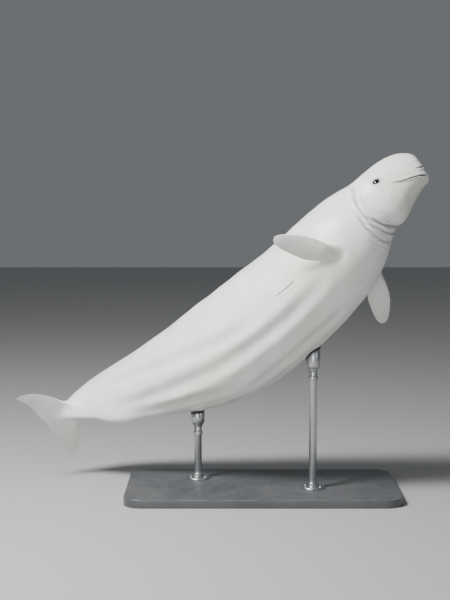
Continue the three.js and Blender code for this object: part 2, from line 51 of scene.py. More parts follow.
# Driving dimensions, the same as in the solids: the body's in millimetres, the stand's in metres
FLUKE_START = 3790
FLUKE_HALF_SPAN = {"left": 464, "right": 444}
FLUKE_THICKNESS = 15
FLUKE_CURL = 22  # how far the flukes' tips droop
NECK_START = 480
CHEST_START = 800
BALANCE_STATION = 1900
BALANCE_HEIGHT = 1462
EYE_STATION = 394
EYE_TURN = 87
EYEBALL_RADIUS = 26
EYEBALL_SPREAD = 1.38  # the eyeball is wider than it is deep, as in all whales
EYEBALL_FRONT = 9
LID_HALF_LENGTH = 25
LID_HALF_HEIGHT = 21
BASE_SIZE = (2.3, 1.24, 0.07)
BASE_CORNER = 0.16
RODS = {"front": dict(station=1300, underside=1.215), "rear": dict(station=2600, underside=0.68)}
ROD_RADIUS = 0.032
FOOT_RADIUS = 0.1
FOOT_THICKNESS = 0.018
CUP_RADIUS = 0.062
CUP_DEPTH = 0.15  # from the underside of the body down to the top of the rod

# Half sizes of the body at its stations: station, above, below and beside the spine
STATIONS = [
    (0, 0, 0, 0),
    (8, 22, 28, 36),
    (22, 44, 48, 67),
    (40, 72, 69, 93),  # fold between the upper lip and the melon
    (55, 132, 84, 107),
    (84, 210, 112, 131),
    (140, 256, 156, 158),
    (220, 270, 208, 188),  # top of the melon
    (320, 260, 266, 214),
    (420, 246, 290, 232),  # blowhole and throat
    (520, 250, 276, 245),  # nape
    (640, 310, 306, 288),
    (780, 362, 358, 345),
    (1000, 398, 412, 404),
    (1400, 422, 444, 440),
    (1900, 456, 474, 446),  # deepest part of the trunk
    (2300, 464, 488, 412),
    (2700, 428, 410, 345),
    (3100, 360, 320, 250),
    (3450, 290, 304, 165),
    (3700, 226, 188, 102),
    (3860, 146, 124, 77),
]

# How the spine lies at its stations, in degrees: station, climb, turn towards -Y, roll of the belly
SPINE_COURSE = [
    (0, -7, 0, 32),
    (150, 17, 0.5, 32),
    (400, 37, 2, 31),
    (560, 50, 6.5, 31),
    (750, 55, 13, 31),
    (1000, 51, 18, 30),
    (1400, 43, 20, 30),
    (2000, 36, 22, 30),
    (2800, 24, 21, 31),
    (3200, 19, 17, 34),
    (3600, 20.4, 13.4, 41.5),
    (3900, 28.5, 0.8, 52),
    (4250, 36.4, -2.1, 60.5),
]

# Folds, creases and long rolls of blubber: how they lie, half width, depth, height of the swelling
# beside them, how much painted shade darkens them, and points as (station, turn). One that lies across
# the body is given from the middle to its right end, and one that lies on both sides for the right.
Fold = namedtuple("Fold", "lies half_width depth swell dark points")
FOLDS = {
    "mouth": Fold("across", 4.2, 15, 5.5, 1, [
        (4, 180), (7, 225), (30, 254), (82, 248.5), (149, 247.5), (224, 249.5), (285, 255.5), (342, 262)]),
    "beak": Fold("across", 7, 13, 5, 0.5, [
        (43, 360), (46, 326), (52, 302), (62, 287), (80, 279), (108, 273)]),
    "beak_second": Fold("both", 9, 1.2, 0.5, 0.03, [(66, 322), (84, 296), (118, 284), (165, 279)]),
    "blowhole": Fold("once", 4.5, 15, 6, 1, [(414, 11), (428, 7), (434, 1), (428, -5), (414, -9)]),
    "nape": Fold("both", 13, 9, 4, 0.4, [
        (512, 318), (534, 288), (564, 270), (591, 257), (613, 232), (626, 210)]),
    "nape_second": Fold("both", 12, 2.5, 1, 0.06, [
        (560, 322), (580, 296), (607, 276), (628, 258), (648, 240)]),
    "throat": Fold("once", 14, 18, 7, 0.7, [
        (548, 118), (506, 150), (540, 180), (577, 198), (594, 215), (606, 240)]),
    "throat_second": Fold("once", 12, 12, 5, 0.5, [
        (618, 118), (592, 150), (612, 180), (632, 205), (650, 228)]),
    "throat_third": Fold("once", 12, 9, 4, 0.4, [
        (676, 140), (672, 165), (692, 190), (684, 207), (673, 224), (640, 244), (628, 258)]),
    "throat_front": Fold("both", 11, 3, 1.5, 0.08, [(470, 176), (478, 196), (500, 214), (530, 232)]),
    "belly_roll": Fold("both", 50, 17, 9, 0.2, [
        (1000, 224), (1300, 220), (1935, 220), (2560, 226), (3240, 222), (3600, 228)]),
    "flank_roll": Fold("both", 44, 13, 7, 0.2, [
        (1620, 238), (1960, 242), (2440, 253), (2740, 259), (3050, 265), (3410, 273), (3760, 283)]),
    "belly_middle": Fold("once", 44, 10, 6, 0.13, [(1150, 177), (1680, 180), (2150, 180), (2380, 180)]),
    "belly_rear": Fold("both", 38, 10, 5, 0.15, [
        (2150, 190), (2400, 197), (2700, 200), (3080, 199), (3440, 207)]),
    "flank_crease": Fold("both", 9, 8, 3, 0.35, [(1310, 243), (1430, 242.5), (1540, 243.5)]),
    "slit": Fold("once", 6, 13, 6, 0.7, [(2590, 180), (2670, 180), (2750, 180)]),
    "nipple_slit": Fold("both", 5, 6, 3, 0.5, [(2655, 187), (2680, 187), (2705, 187)]),
    "navel": Fold("once", 12, 6, 3, 0.3, [(1890, 180), (1910, 180)]),
}
RIDGE = dict(start=2020, end=2880, height=17, half_width=26, bumps=11)

# Flippers: station and turn of the root, length past the bend, how far the tip is lifted, where
# they point (back, aside and upward) and how far their root spreads on the body: to the front, to
# the rear, up and down
FLIPPERS = {
    "right": dict(station=946, turn=233.2, length=465, lift=19, back=0.194, aside=0.464, up=0.236,
                  side=-1, spread=(84, 96, 68, 104)),
    "left": dict(station=968, turn=118.5, length=476, lift=14, back=0.304, aside=0.336, up=-0.097,
                 side=1, spread=(98, 104, 70, 92)),
}
FLIPPER_KNEE = 60  # from the root to the bend
FLIPPER_LEAN = 5  # how far a flipper leans towards its own direction where it leaves the skin
TIP_INSET = 1.4  # how much shorter flippers and flukes are than the solids, so that they stay inside


def clamp(x):
    return np.clip(x, 0, 1)


def smooth(x):
    """A smooth step from 0 at 0 to 1 at 1"""
    x = clamp(x)
    return x * x * (3 - 2 * x)


def bell(x):
    """1 at 0 and fading to both sides"""
    return np.exp(-x * x)


def curve(points):
    """A smooth curve through points (at, value)"""
    at, value = np.array(list(points), float).T
    step = np.diff(at)
    rise = np.diff(value) / step
    slope = np.concatenate([rise[:1], rise, rise[-1:]])[:-1]
    slope[1:-1] = (rise[:-1] * step[1:] + rise[1:] * step[:-1]) / (step[1:] + step[:-1])
    slope[-1] = rise[-1]

    def height(x):
        i = np.clip(np.searchsorted(at, x) - 1, 0, len(step) - 1)
        t = clamp((x - at[i]) / step[i])
        u = 1 - t
        return ((1 + 2 * t) * u * u * value[i] + t * u * u * step[i] * slope[i]
                + t * t * (3 - 2 * t) * value[i + 1] - t * t * u * step[i] * slope[i + 1])
    return height


def profile(column):
    """A size over the root of the station, so that the snout ends blunt and round"""
    along = curve((sqrt(row[0]), row[column]) for row in STATIONS)
    return lambda station: along(np.sqrt(np.maximum(station, 0)))


up_at, down_at, side_at = profile(1), profile(2), profile(3)
keel_at = curve([(0, 0), (2400, 0), (3000, 0.12), (3500, 0.35), (3860, 0.4)])


def length(vectors):
    return np.linalg.norm(vectors, axis=-1)


def unit(vectors):
    return vectors / np.maximum(length(vectors), 1e-9)[..., None]


def bare_skin(station, turn):
    """Places on the straight body: x is the station, y to the left and z up"""
    c = np.cos(turn)
    height = np.where(c > 0, up_at(station), down_at(station))
    y = side_at(station) * np.sin(turn) * (1 - keel_at(station) * c * c)
    return np.stack(np.broadcast_arrays(station, y, height * c), -1)


def bare_normal(station, turn, swing=0.01):
    """Directions out of the straight body, from places a little before, behind and beside"""
    reach = 0.5 + station * 0.002
    along = bare_skin(station + reach, turn) - bare_skin(np.maximum(station - reach, 0), turn)
    around = bare_skin(station, turn + swing) - bare_skin(station, turn - swing)
    normal = unit(np.cross(along, around))
    normal[length(around) < 1e-6] = (-1, 0, 0)
    return normal


TURN_LENGTH = 200  # stands for a radian of turn when a fold's curve is drawn
CHAIN_PASSES = 15  # how often a fold's chain is smoothed


def fold_chain(fold, side):
    """A fold as a chain of points on the bare skin, with its strength fading at the ends"""
    station, turn = np.array(fold.points, float).T
    if fold.lies == "across":
        station = np.concatenate([station[:0:-1], station])
        turn = np.concatenate([2 * turn[0] - turn[:0:-1], turn])
    turn = np.radians(360 - turn if side > 0 else turn)
    steps = np.hypot(np.diff(station), np.diff(turn) * TURN_LENGTH)
    at = np.concatenate([[0], np.cumsum(steps)])
    count = ceil(at[-1] / max(fold.half_width, 6)) + 8
    s = np.linspace(0, at[-1], count + 1)
    t = s / at[-1]
    share = 10 if fold.lies == "across" else 5  # one part in so many fades at each end
    fade = smooth(t * share) * smooth((1 - t) * share)
    chain = bare_skin(curve(zip(at, np.sqrt(station)))(s) ** 2, curve(zip(at, turn))(s))
    for _ in range(CHAIN_PASSES):
        chain[1:-1] = (chain[:-2] + 2 * chain[1:-1] + chain[2:]) / 4
    return chain, fade


fold_chains = []
for name, fold in FOLDS.items():
    for side in (-1, 1) if fold.lies == "both" else (-1,):
        fold_chains.append((name, *fold_chain(fold, side)))


def near(points, margin, chain, fade):
    """The points near a chain: which they are, how far away, its strength there, and how far above"""
    close = np.flatnonzero(((points > chain.min(0) - margin) & (points < chain.max(0) + margin)).all(1))
    step = np.diff(chain, axis=0)
    away = points[close, None] - chain[:-1]
    t = clamp((away * step).sum(-1) / (step * step).sum(-1))
    away -= t[..., None] * step
    distance = length(away)
    row, best = np.arange(len(close)), distance.argmin(1)
    t = t[row, best]
    return close, distance[row, best], fade[best] * (1 - t) + fade[best + 1] * t, away[row, best, 2]


class SkinFrame:
    """Axes on the bare skin at a place: along towards the snout, across towards the back, and out"""

    def __init__(self, station, turn, step=20):
        self.station, self.turn = station, radians(turn)
        self.centre = bare_skin(station, self.turn)
        self.out = bare_normal(station, self.turn)
        along = bare_skin(station - step, self.turn) - self.centre
        self.along = unit(along - along @ self.out * self.out)
        self.across = np.cross(self.along, self.out)
        self.across *= np.sign(self.across[2])

    def local(self, points):
        away = points - self.centre
        return away @ self.along, away @ self.across, away @ self.out

    def spot(self, u, v, rounds=8):
        """Station and turn of the places on the skin that lie u along and v across"""
        arm = length(bare_skin(self.station, self.turn)[1:])
        sense = np.sign(-sin(self.turn))
        station, turn = self.station - u, self.turn + sense * v / arm
        for _ in range(rounds):
            at_u, at_v, _ = self.local(bare_skin(station, turn))
            station, turn = station + (at_u - u), turn + sense * (v - at_v) / arm
        return station, turn


class RootFrame(SkinFrame):
    """Axes where a flipper leaves the skin, and the line round its root"""
    DEPTH = 160  # no skin further in or out than this is near the root
    FAR = 9  # the span there

    def __init__(self, flipper):
        super().__init__(flipper["station"], flipper["turn"])
        self.spread = flipper["spread"]

    def reach(self, u, v):
        front, rear, upper, lower = self.spread
        return np.where(u > 0, front, rear), np.where(v > 0, upper, lower)

    def span(self, points):
        """1 on the root's line, less inside it and more outside, with the angle round the root"""
        u, v, out = self.local(points)
        reach_u, reach_v = self.reach(u, v)
        u, v = u / reach_u, v / reach_v
        return np.where(np.abs(out) < self.DEPTH, np.hypot(u, v), self.FAR), np.arctan2(v, u)

    def line(self, angle):
        u, v = np.cos(angle), np.sin(angle)
        reach_u, reach_v = self.reach(u, v)
        return self.spot(u * reach_u, v * reach_v)


EYES = {"right": SkinFrame(EYE_STATION, -EYE_TURN), "left": SkinFrame(EYE_STATION, EYE_TURN)}
ROOTS = {name: RootFrame(flipper) for name, flipper in FLIPPERS.items()}


def swelling(away, tall, at, half_width):
    """The height of a rounded swelling for places that lie away from a line"""
    return tall * bell((away - at) / half_width)


# The skin round an eye, in millimetres. A swelling has its height, how far along and across its
# middle lies from the eye's, and its reach. A fold of the lids has its height, how far outside the
# opening it lies, and its half width.
EYE_REACH = 220
LOWER_LID = 0.85  # its height next to the upper one's
UPPER_FOLDS = 0.35  # how much stronger the folds are above the eye, and weaker below
EYE_SWELLINGS = [(7, 0, 0, 72), (3, 15, 44, 34)]
LID_RIM = (4.5, 5, 5)
LID_FOLDS = [(-3, 14, 3.2), (1.2, 21, 5), (-1.3, 31, 4)]
LID_WALL = dict(depth=15, start=1.5, width=7)


def eye_relief(points):
    """The lids: an almond opening over the eyeball, its rim, the folds round it and a soft brow, with
    painted shade inside and round them
    """
    height, dark = np.zeros(len(points)), np.zeros(len(points))
    for eye in EYES.values():
        close = np.flatnonzero(length(points - eye.centre) < EYE_REACH)
        u, v, _ = eye.local(points[close])
        lid = LID_HALF_HEIGHT * np.where(v > 0, 1, LOWER_LID)
        r = np.hypot(u / LID_HALF_LENGTH, v / lid)
        edge = (r - 1) * 22  # millimetres outside the opening, roughly
        rim = 1 + UPPER_FOLDS * np.sign(v) * smooth(np.abs(v) / 8)
        crease = rim * smooth((np.abs(v) - 5) / 20) * bell(u / 44)  # fades towards the corners of the eye
        rise = sum(tall * bell(np.hypot(u - along, v - across) / reach)
                   for tall, along, across, reach in EYE_SWELLINGS)
        rise += rim * swelling(edge, *LID_RIM)
        rise += crease * sum(swelling(edge, *fold) for fold in LID_FOLDS)
        rise -= LID_WALL["depth"] * smooth((LID_WALL["start"] - edge) / LID_WALL["width"])
        height[close] += rise
        dark[close] += 0.95 * smooth((2 - edge) / 4)  # painted shade inside the lids
        dark[close] += 0.2 * bell(edge / 16)  # painted shade on the skin round them
        dark[close] += 0.25 * crease * bell((edge - 14) / 4)  # painted shade in the first fold
    return height, dark


def ridge_relief(points):
    """Low bumps that take the place of a back fin"""
    t = (points[:, 0] - RIDGE["start"]) / (RIDGE["end"] - RIDGE["start"])
    inside = (t > 0) & (t < 1) & (points[:, 2] > 0)
    t = np.where(inside, t, 0)
    bumps = 0.7 + 0.3 * np.cos(tau * RIDGE["bumps"] * t)
    crest = bell(points[:, 1] / RIDGE["half_width"])
    return RIDGE["height"] * np.sin(pi * t) ** 0.6 * bumps * crest * inside


LUMP_DEPTH = 4  # mean depth of the blubber's hollows, in millimetres
HEAD_LUMPS = 0.35  # how much of it shows on the head
# Long waves in the blubber: direction and length
LUMPS = [((1, 0.4, 0.2), 310), ((0.3, 1, -0.5), 240), ((-0.6, 0.3, 1), 270),
         ((0.9, -0.8, 0.4), 170), ((0.2, 0.7, 0.9), 140)]


def lump_relief(points):
    """Faint hollows of the blubber, shallower on the head"""
    height = sum(np.sin(points @ unit(np.array(way)) / size * tau + size) for way, size in LUMPS)
    trunk = smooth((points[:, 0] - 450) / 500)
    return (height - LUMP_DEPTH) * (HEAD_LUMPS + (1 - HEAD_LUMPS) * trunk)


# The lips swell beside the mouth: height, distance from its line and half width, in millimetres
UPPER_LIP = (3.5, 15, 9)
LOWER_LIP = (2, 12, 8)


def relief(points):
    """How far the skin stands over the bare body, and the painted shade that darkens its creases"""
    height, dark = eye_relief(points)
    height += ridge_relief(points) + lump_relief(points)
    for name, *chain in fold_chains:
        fold = FOLDS[name]
        close, distance, strength, above = near(points, max(5 * fold.half_width, 45), *chain)
        d = distance / fold.half_width
        swell = swelling(d, fold.swell, 1.9, 0.8)
        if name == "mouth":
            swell += np.where(above > 0, swelling(distance, *UPPER_LIP), swelling(distance, *LOWER_LIP))
        height[close] += strength * (swell - fold.depth * bell(d))
        # painted shade: each fold's hollow is darkened in the skin's colour
        dark[close] += strength * fold.dark * bell(d * 0.9)
    return height, clamp(dark)


# The bent spine: where each station lies, and the body's axes there
SPINE_STEP = 5
climb_at, turn_at, roll_at = (curve((row[0], row[k]) for row in SPINE_COURSE) for k in (1, 2, 3))


def axes_at(station):
    """Directions in the pose at a station: towards the snout, the body's left and its back"""
    climb, turn, roll = (np.radians(angle(station)) for angle in (climb_at, turn_at, roll_at))
    forward = np.stack([np.cos(climb) * np.cos(turn), -np.cos(climb) * np.sin(turn), np.sin(climb)], -1)
    level = unit(np.cross((0, 0, 1), forward))
    upright = np.cross(forward, level)
    c, s = np.cos(roll)[..., None], np.sin(roll)[..., None]
    return forward, c * level - s * upright, c * upright + s * level


spine_at = np.arange(0, 4305, SPINE_STEP)
headings = axes_at(spine_at)[0]
spine = np.zeros((len(spine_at), 3))
spine[1:] = -np.cumsum((headings[1:] + headings[:-1]) / 2 * SPINE_STEP, 0)
spine += (0, 0, BALANCE_HEIGHT) - spine[BALANCE_STATION // SPINE_STEP]


def spine_place(station):
    """Where the spine is at a station, in millimetres"""
    return np.stack([np.interp(station, spine_at, spine[:, k]) for k in range(3)], -1)


def bend(points):
    """From the straight body to its place in the pose, still in millimetres"""
    _, left, up = axes_at(points[..., 0])
    return spine_place(points[..., 0]) + left * points[..., 1:2] + up * points[..., 2:3]


def turned(vector, station):
    """A direction on the straight body, in the pose"""
    forward, left, up = axes_at(station)
    return -forward * vector[0] + left * vector[1] + up * vector[2]


FLUKE_LENGTH = 400  # the tube's stations from the first fluke row to the rear edge
FLUKE_RIDGE = 200  # how far the thicker middle of the flukes reaches to each side
# How much of the half span is reached on the way back, and the rear edge's station on the way out
fluke_reach_at = curve([
    (0, 0), (0.14, 0.034), (0.28, 0.207), (0.4, 0.469), (0.5, 0.63), (0.66, 0.84), (0.8, 0.945),
    (0.9, 0.985), (1, 0.98)])
fluke_rear_at = curve([
    (0, 4116), (0.04, 4122), (0.14, 4128), (0.33, 4134), (0.54, 4133), (0.72, 4141), (0.86, 4158),
    (1, 4177)])


def fluke_skin(v, turn):
    """Places on the flukes, from the tail's last ring at 0 to the rear edge at 1"""
    across, flatness, side = np.abs(np.sin(turn)), np.abs(np.cos(turn)), np.sign(np.sin(turn))
    width = side_at(FLUKE_START)
    ring_height = np.where(np.cos(turn) > 0, up_at(FLUKE_START), down_at(FLUKE_START))
    half_span = np.where(side > 0, FLUKE_HALF_SPAN["left"], FLUKE_HALF_SPAN["right"]) - TIP_INSET
    reach = width * v + (half_span - width) * fluke_reach_at(v)
    y = np.abs(bare_skin(FLUKE_START, turn)[..., 1]) * (1 - v) + across * reach
    station = FLUKE_START + (fluke_rear_at(across) - FLUKE_START) * v
    blade = FLUKE_THICKNESS * (1 - v) ** 0.55 * (1 + bell(y / FLUKE_RIDGE))
    blend = smooth(v / 0.3)
    crown = (1 - blend) * flatness + blend * bell(y / (width * (0.8 - 0.3 * v)))
    keel = np.maximum(ring_height - blade, 0) * (1 - v) ** 1.6 * crown
    z = np.sign(np.cos(turn)) * (flatness * blade + keel)
    return np.stack([station, side * y, z - FLUKE_CURL * (y / half_span) ** 3], -1)


def skin(station, turn, bare):
    """The whole skin in the pose, in metres, with the painted shade of its creases and its edge tint"""
    height, dark = relief(bare)
    points = bare + bare_normal(bare[:, 0], turn) * height[:, None]
    tail = station > FLUKE_START
    v = clamp((station[tail] - FLUKE_START) / FLUKE_LENGTH)
    points[tail] = fluke_skin(v, turn[tail])
    dark[tail] = 0
    edge = np.zeros(len(points))
    edge[tail] = smooth((v - 0.55) / 0.45)
    return bend(points) * METRE, dark, edge


# The skin's mesh: a tube of stations and turns, laid over the body afterwards
AROUND = 136


def tube_stations():
    """Stations of the tube's rings, closest at the snout and at the flukes' edges"""
    head = np.linspace(0, sqrt(NECK_START), 72) ** 2
    neck = np.linspace(NECK_START, CHEST_START, 34)
    trunk = np.linspace(CHEST_START, FLUKE_START, 112)
    flukes = FLUKE_START + FLUKE_LENGTH * (1 - (1 - np.linspace(0, 1, 40)) ** 1.5)
    return np.concatenate([head, neck[1:], trunk[1:], flukes[1:]])


def grow_ring(shape, ring):
    """Extrudes a ring of edges, and gives the new edges and corners in the same order"""
    made = bmesh.ops.extrude_edge_only(shape, edges=ring)["geom"]
    corners = {item for item in made if isinstance(item, bmesh.types.BMVert)}
    edges = [item for item in made if isinstance(item, bmesh.types.BMEdge) and set(item.verts) <= corners]
    return edges, list(corners)


def straight_tube():
    """A tube of radius 1 with its rings at their stations"""
    shape = bmesh.new()
    bmesh.ops.create_circle(shape, segments=AROUND, radius=1, matrix=Matrix.Rotation(pi / 2, 4, "Y"))
    ring = shape.edges[:]
    stations = tube_stations()
    for before, after in zip(stations, stations[1:]):
        ring, corners = grow_ring(shape, ring)
        bmesh.ops.translate(shape, verts=corners, vec=(after - before, 0, 0))
    return shape


def tube_places(shape):
    """Station and turn of the tube's corners, and their places on the bare skin"""
    shape.verts.ensure_lookup_table()
    corners = np.array([corner.co[:] for corner in shape.verts])
    station, turn = corners[:, 0].round(3), np.arctan2(corners[:, 1], corners[:, 2])
    return station, turn, bare_skin(np.minimum(station, FLUKE_START), turn)


def by_folds(points, reach, names):
    """Which points lie within reach of the named folds"""
    found = np.zeros(len(points), bool)
    for name, *chain in fold_chains:
        if name in names:
            close, distance, _, _ = near(points, reach, *chain)
            found[close] |= distance < reach
    return found


SHARP_FOLDS = ["mouth", "beak", "blowhole"]
NARROW_FOLDS = SHARP_FOLDS + ["slit", "nipple_slit"]
CUT_FOLDS = NARROW_FOLDS + ["beak_second", "nape", "nape_second", "throat", "throat_second",
                            "throat_third", "throat_front", "flank_crease", "navel"]
# Rounds of splitting: the longest edge that stays, the folds and the reach round them, the reach
# round the eyes, in millimetres, and round the flippers' roots, as a share of their size
SPLITS = [
    (12, CUT_FOLDS, 46, 128.8, 2.02),
    (6.5, CUT_FOLDS, 32, 89.6, 1.74),
    (8, NARROW_FOLDS, 24, 86.4, 0),
    (4, NARROW_FOLDS, 16, 57.6, 0),
    (4, SHARP_FOLDS, 12, 50.4, 0),
    (2.4, SHARP_FOLDS, 9, 37.8, 0),
    (1.4, ["mouth"], 7, 0, 0),
]
SNOUT_END = 30  # up to this station the last round is made twice


def split_edges(shape, longest, names, by_fold, by_eye, by_root, end=FLUKE_START):
    """Halves the edges that are longer than longest in one round's reach, and parts their faces"""
    station, _, places = tube_places(shape)
    chosen = by_folds(places, by_fold, names)
    for eye in EYES.values():
        chosen |= length(places - eye.centre) < by_eye
    for root in ROOTS.values():
        chosen |= root.span(places)[0] < by_root
    chosen &= station < end
    ends = np.array([[corner.index for corner in edge.verts] for edge in shape.edges])
    picked = chosen[ends].all(1) & (length(places[ends[:, 0]] - places[ends[:, 1]]) > longest)
    shape.edges.ensure_lookup_table()
    edges = [shape.edges[i] for i in np.flatnonzero(picked)]
    bmesh.ops.subdivide_edges(shape, edges=edges, cuts=1, use_grid_fill=True)
    bmesh.ops.triangulate(shape, faces=[face for face in shape.faces if len(face.verts) > 4])


def refine_tube(shape):
    """Makes the tube's faces finer, round by round, towards folds, eyes and flippers"""
    for split in SPLITS:
        split_edges(shape, *split)
    split_edges(shape, *SPLITS[-1], end=SNOUT_END)


RIM_SPAN = 1.6  # the hole's corners lie within this share of the root's size


def open_roots(shape):
    """Opens the tube at the flippers' roots, with each hole's corners evenly round the root's line"""
    for root in ROOTS.values():
        span, _ = root.span(tube_places(shape)[2])
        inside = [shape.verts[i] for i in np.flatnonzero(span < 1)]
        bmesh.ops.delete(shape, geom=inside, context="VERTS")
        span, angle = root.span(tube_places(shape)[2])
        rim = [i for i in np.flatnonzero(span < RIM_SPAN) if shape.verts[i].is_boundary]
        rim.sort(key=lambda i: angle[i])
        even = np.linspace(0, tau, len(rim), endpoint=False)
        even += (angle[rim] - even).mean()
        station, turn = root.line(even)
        for i, at, way in zip(rim, station, turn):
            shape.verts[i].co = (at, sin(way), cos(way))


# A flipper's section from the skin at 0 to the tip at 1, in millimetres: how far it reaches
# before and behind its axis, and half its thickness
leading_at = curve([
    (0, 40), (0.1, 43), (0.23, 58), (0.42, 76), (0.58, 78), (0.77, 63), (0.9, 46), (0.965, 29),
    (0.98, 23), (0.99, 17), (0.996, 11), (1, 0)])
trailing_at = curve([
    (0, 56), (0.1, 68), (0.23, 100), (0.41, 116), (0.59, 103), (0.77, 82), (0.9, 60), (0.965, 39),
    (0.98, 31), (0.99, 23), (0.996, 15), (1, 0)])
paddle_thickness_at = curve([(0, 38), (0.3, 26), (0.7, 14), (0.92, 8), (1, 0)])
ROOT_END = 0.24  # share of the flipper over which its root spreads into the body
ROOT_RINGS, PADDLE_RINGS = 17, 42
AXIS_STEPS = (40, 80)  # round the bend and past it


class Flipper:
    """A flipper's axis in the pose, and its sections along it, in millimetres"""

    def __init__(self, name):
        sizes, root = FLIPPERS[name], ROOTS[name]
        station = sizes["station"]
        self.side, self.lift = sizes["side"], sizes["lift"]
        self.forward = axes_at(station)[0]
        self.middle = bend(root.centre)
        out = turned(root.out, station)
        way = np.array([sizes["back"], sizes["side"] * sizes["aside"], sizes["up"]])
        span = turned(unit(way), station)
        rise = unit(out + FLIPPER_LEAN * span)
        knee = self.middle + rise * FLIPPER_KNEE
        t = np.linspace(0, 1, AXIS_STEPS[0])[:, None]
        bent = (1 - t) ** 2 * self.middle + 2 * t * (1 - t) * knee + t * t * (knee + span * FLIPPER_KNEE)
        t = np.linspace(FLIPPER_KNEE, sizes["length"] - TIP_INSET, AXIS_STEPS[1])[1:, None]
        self.axis = np.vstack([bent, knee + span * t])
        steps = length(np.diff(self.axis, axis=0))
        self.at = np.concatenate([[0], np.cumsum(steps)])
        self.length = self.at[-1]

    def on_axis(self, t):
        return np.array([np.interp(t * self.length, self.at, self.axis[:, k]) for k in range(3)])

    def section(self, t, angle, reach=0.004):
        """The ring at t, a place for each angle: 0 at the front edge, a quarter turn on the upper face"""
        direction = unit(self.on_axis(min(t + reach, 1)) - self.on_axis(t - reach))
        chord = unit(self.forward - self.forward @ direction * direction)
        lifted = -self.side * np.cross(direction, chord)
        c = np.cos(angle)
        wide = np.where(c > 0, leading_at(t), trailing_at(t)) * c
        high = paddle_thickness_at(t) * np.sin(angle) * np.where(c > 0, 1, 1 - 0.45 * c * c)
        lift = self.lift * t * t
        return self.on_axis(t) + wide[:, None] * chord + (high + lift)[:, None] * lifted


def grow_flipper(shape, name, dark, edge):
    """Draws a flipper out of its hole in the skin, ring by ring"""
    flipper, root = Flipper(name), ROOTS[name]
    middle, hole = Vector(flipper.middle * METRE), 2 * max(root.spread) * METRE
    ring = [e for e in shape.edges if e.is_boundary and (e.verts[0].co - middle).length < hole]
    rim = list({corner for e in ring for corner in e.verts})
    flat = np.array([corner.co[:] for corner in rim]) / METRE - flipper.middle
    along, across, out = (turned(axis, root.station) for axis in (root.along, root.across, root.out))
    u, v = flat @ along, flat @ across
    reach_u, reach_v = root.reach(u, v)
    angle = np.arctan2(v / reach_v, u / reach_u)
    start = flat + flipper.middle
    inward = -unit(u[:, None] * along + v[:, None] * across + 0.12 * np.hypot(u, v)[:, None] * out)
    first, second = flipper.section(ROOT_END, angle), flipper.section(ROOT_END + 0.02, angle)
    away = unit(second - first)
    pull = 0.85 * length(first - start)[:, None]
    where = {corner: i for i, corner in enumerate(rim)}
    rows = []
    for t in np.linspace(0, 1, ROOT_RINGS + 1)[1:]:
        places = (2 * t ** 3 - 3 * t * t + 1) * start + (t ** 3 - 2 * t * t + t) * pull * inward
        places = places + (3 * t * t - 2 * t ** 3) * first + (t ** 3 - t * t) * pull * away
        rows.append((t * ROOT_END, places))
    closer = np.append(np.sin(np.linspace(0, 1.5, PADDLE_RINGS + 1))[1:], 1)  # towards the tip
    for t in ROOT_END + (1 - ROOT_END) * closer:
        rows.append((t, flipper.section(t, angle)))
    for t, places in rows:
        ring, corners = grow_ring(shape, ring)
        order = {}
        for corner in corners:
            old = next(e.other_vert(corner) for e in corner.link_edges if e.other_vert(corner) in where)
            order[corner] = where[old]
            corner.co = places[where[old]] * METRE
            # painted shade round the flipper's root, where it meets the body
            corner[dark] = 0.1 * float(bell((t - 0.04) / 0.06))
            corner[edge] = float(smooth((t - 0.3) / 0.7))
        where = order


def soften(shape, corners, times):
    """Evens out the skin at those of the corners that are still there"""
    left = [corner for corner in corners if corner.is_valid]
    for _ in range(times):
        bmesh.ops.smooth_vert(shape, verts=left, factor=0.5, use_axis_x=True, use_axis_y=True,
                              use_axis_z=True)


LIP_WIDTH = 14  # how far from the mouth's and the beak's folds the skin is softened
LIP_PASSES = 2
FLUKE_JOIN = (-40, 80)  # from the flukes' first row, where the tail runs into them
JOIN_PASSES = 10
MERGE = 0.00002  # corners closer than this become one


def make_skin():
    """The whole skin in the pose, without a seam"""
    shape = straight_tube()
    refine_tube(shape)
    open_roots(shape)
    station, turn, bare = tube_places(shape)
    places, darkness, edges = skin(station, turn, bare)
    # dark holds the painted shade of the creases, round the eyes and at the flippers' roots
    dark, edge, along = (shape.verts.layers.float.new(layer) for layer in ("dark", "edge", "along"))
    for corner, place, d, e, s in zip(shape.verts, places, darkness, edges, station):
        corner.co = place
        corner[dark], corner[edge], corner[along] = d, e, s * METRE
    lips = by_folds(bare, LIP_WIDTH, ["mouth", "beak"])
    lips = [corner for corner, chosen in zip(shape.verts, lips) if chosen]
    first, last = FLUKE_JOIN
    join = [corner for corner, s in zip(shape.verts, station) if first < s - FLUKE_START < last]
    for name in FLIPPERS:
        grow_flipper(shape, name, dark, edge)
    bmesh.ops.remove_doubles(shape, verts=shape.verts, dist=MERGE)
    soften(shape, lips, LIP_PASSES)
    soften(shape, join, JOIN_PASSES)
    bmesh.ops.recalc_face_normals(shape, faces=shape.faces)
    return shape


def new_object(name, data):
    thing = bpy.data.objects.new(name, data)
    bpy.context.collection.objects.link(thing)
    return thing


def finish_piece(name, shape, materials, nodes, smooth_faces=True):
    """Makes a bmesh an object that rides on the frame and stands for its solids"""
    mesh = bpy.data.meshes.new(name)
    shape.to_mesh(mesh)
    shape.free()
    for face in mesh.polygons:
        face.use_smooth = smooth_faces
    for material in materials:
        mesh.materials.append(material)
    piece = new_object(name, mesh)
    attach(piece, "root")
    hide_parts(*nodes)


# Eyeballs, drawn facing +Z and then turned to look out between the lids
CORNEA_ANGLE = radians(40)  # from the middle of the eye to the edge of the cornea
CORNEA_BULGE = 0.0012


